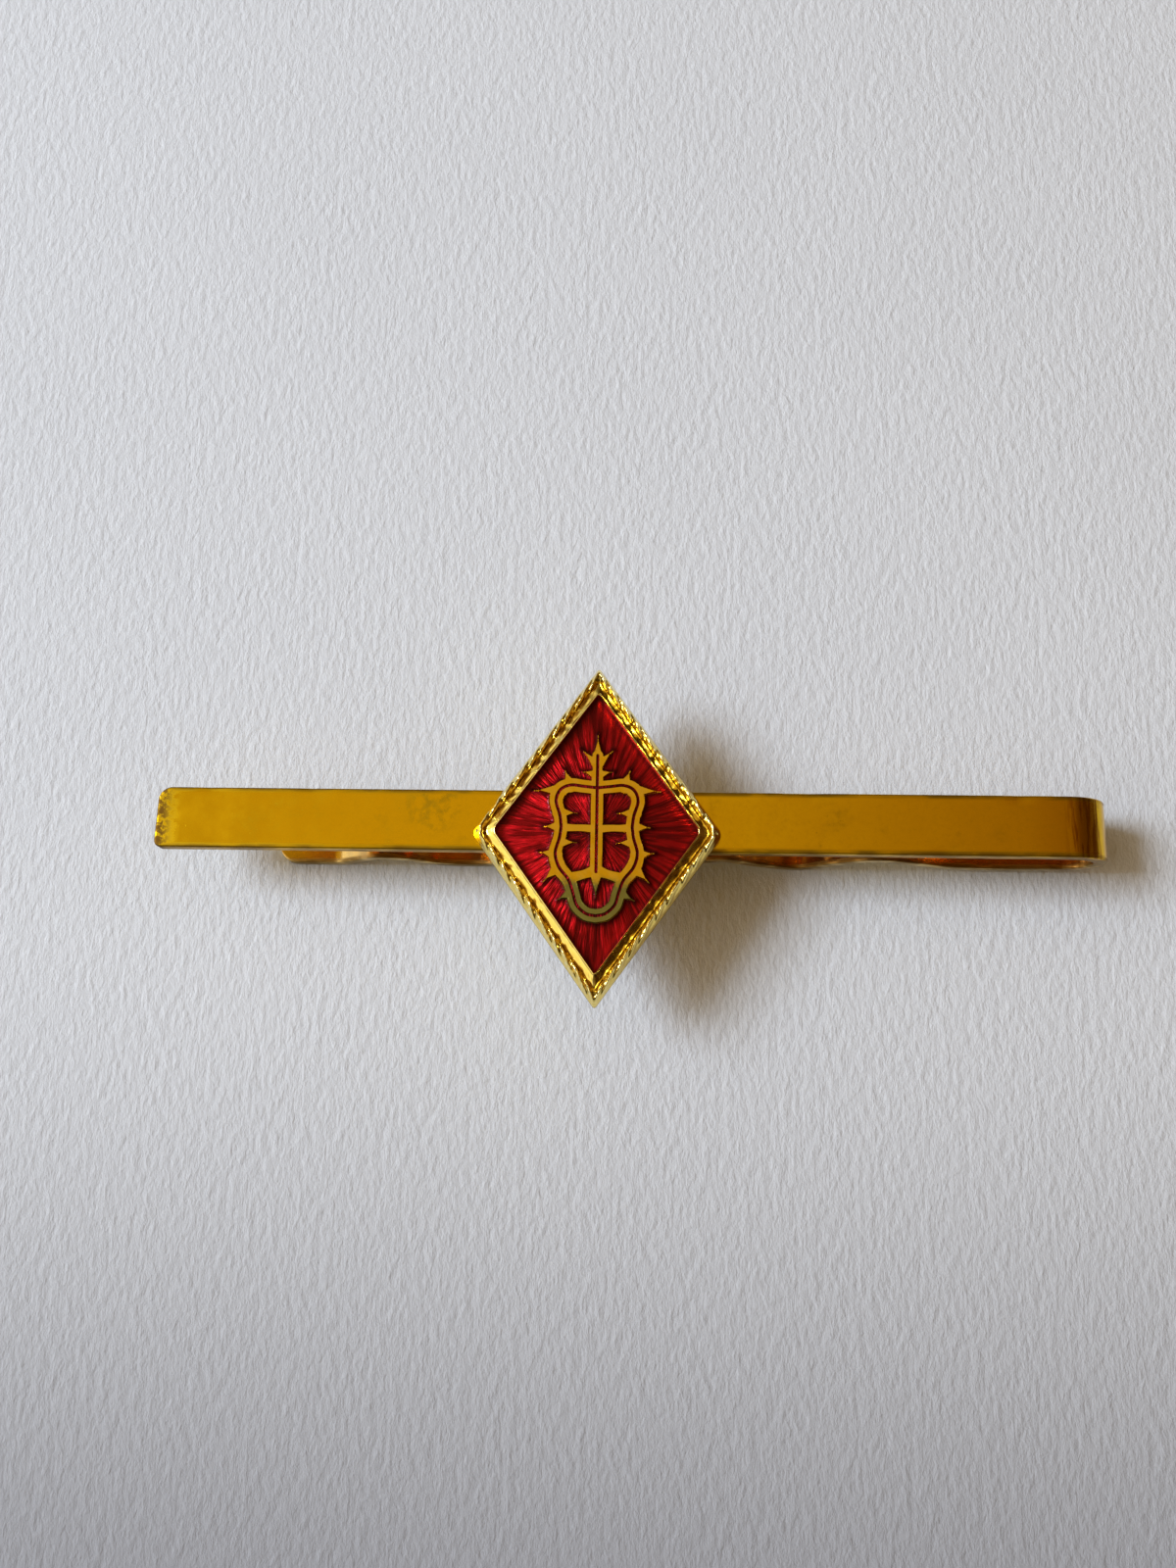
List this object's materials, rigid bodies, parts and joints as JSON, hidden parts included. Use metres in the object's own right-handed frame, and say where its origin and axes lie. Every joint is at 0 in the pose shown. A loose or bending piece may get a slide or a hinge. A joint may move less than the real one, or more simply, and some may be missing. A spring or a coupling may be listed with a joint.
{
  "type": "tie bar",
  "caption": "Folded spring tie bar with a flat front, a waved clamping leg and a soldered diamond emblem: carved border, enamelled field and raised ornament.",
  "frame": {"origin": "centre of the bounding box in plan, at the height of the leg's lowest undersides", "axes": "+X along the bar towards the fold, +Y across the bar, +Z out of the emblem's face"},
  "size_m": [0.062, 0.022, 0.0074],
  "materials": {
    "gold_plate": "polished gold plate, lightly worn and tarnished",
    "bright_gold_plate": "bright carved gold plate",
    "ornament_gold": "satin stoned gold plate with greenish tarnish low down",
    "red_enamel": "translucent glossy red enamel over an engraved sunburst",
    "solder": "dull gold-washed solder"
  },
  "bodies": {
    "bar": {"front_bar": "gold_plate", "fold_spring": "gold_plate", "emblem_plate": "gold_plate", "emblem_border": "bright_gold_plate", "ornament": "ornament_gold", "enamel_field": "red_enamel", "enamel_cell_1": "red_enamel", "enamel_cell_2": "red_enamel", "enamel_cell_3": "red_enamel", "enamel_cell_4": "red_enamel", "enamel_cell_5": "red_enamel", "solder_front": "solder", "solder_rear": "solder"},
    "leg": {"spring_leg": "gold_plate"}
  },
  "joints": [
    {"name": "leg_flex", "type": "hinge", "parent": "bar", "child": "leg", "pos_m": [0.0281, 0.00095, 0.00335], "axis": [0, -1, 0], "range_deg": [0, 5], "stiffness_Nm_per_rad": 1, "deforming": ["fold_spring"]}
  ]
}
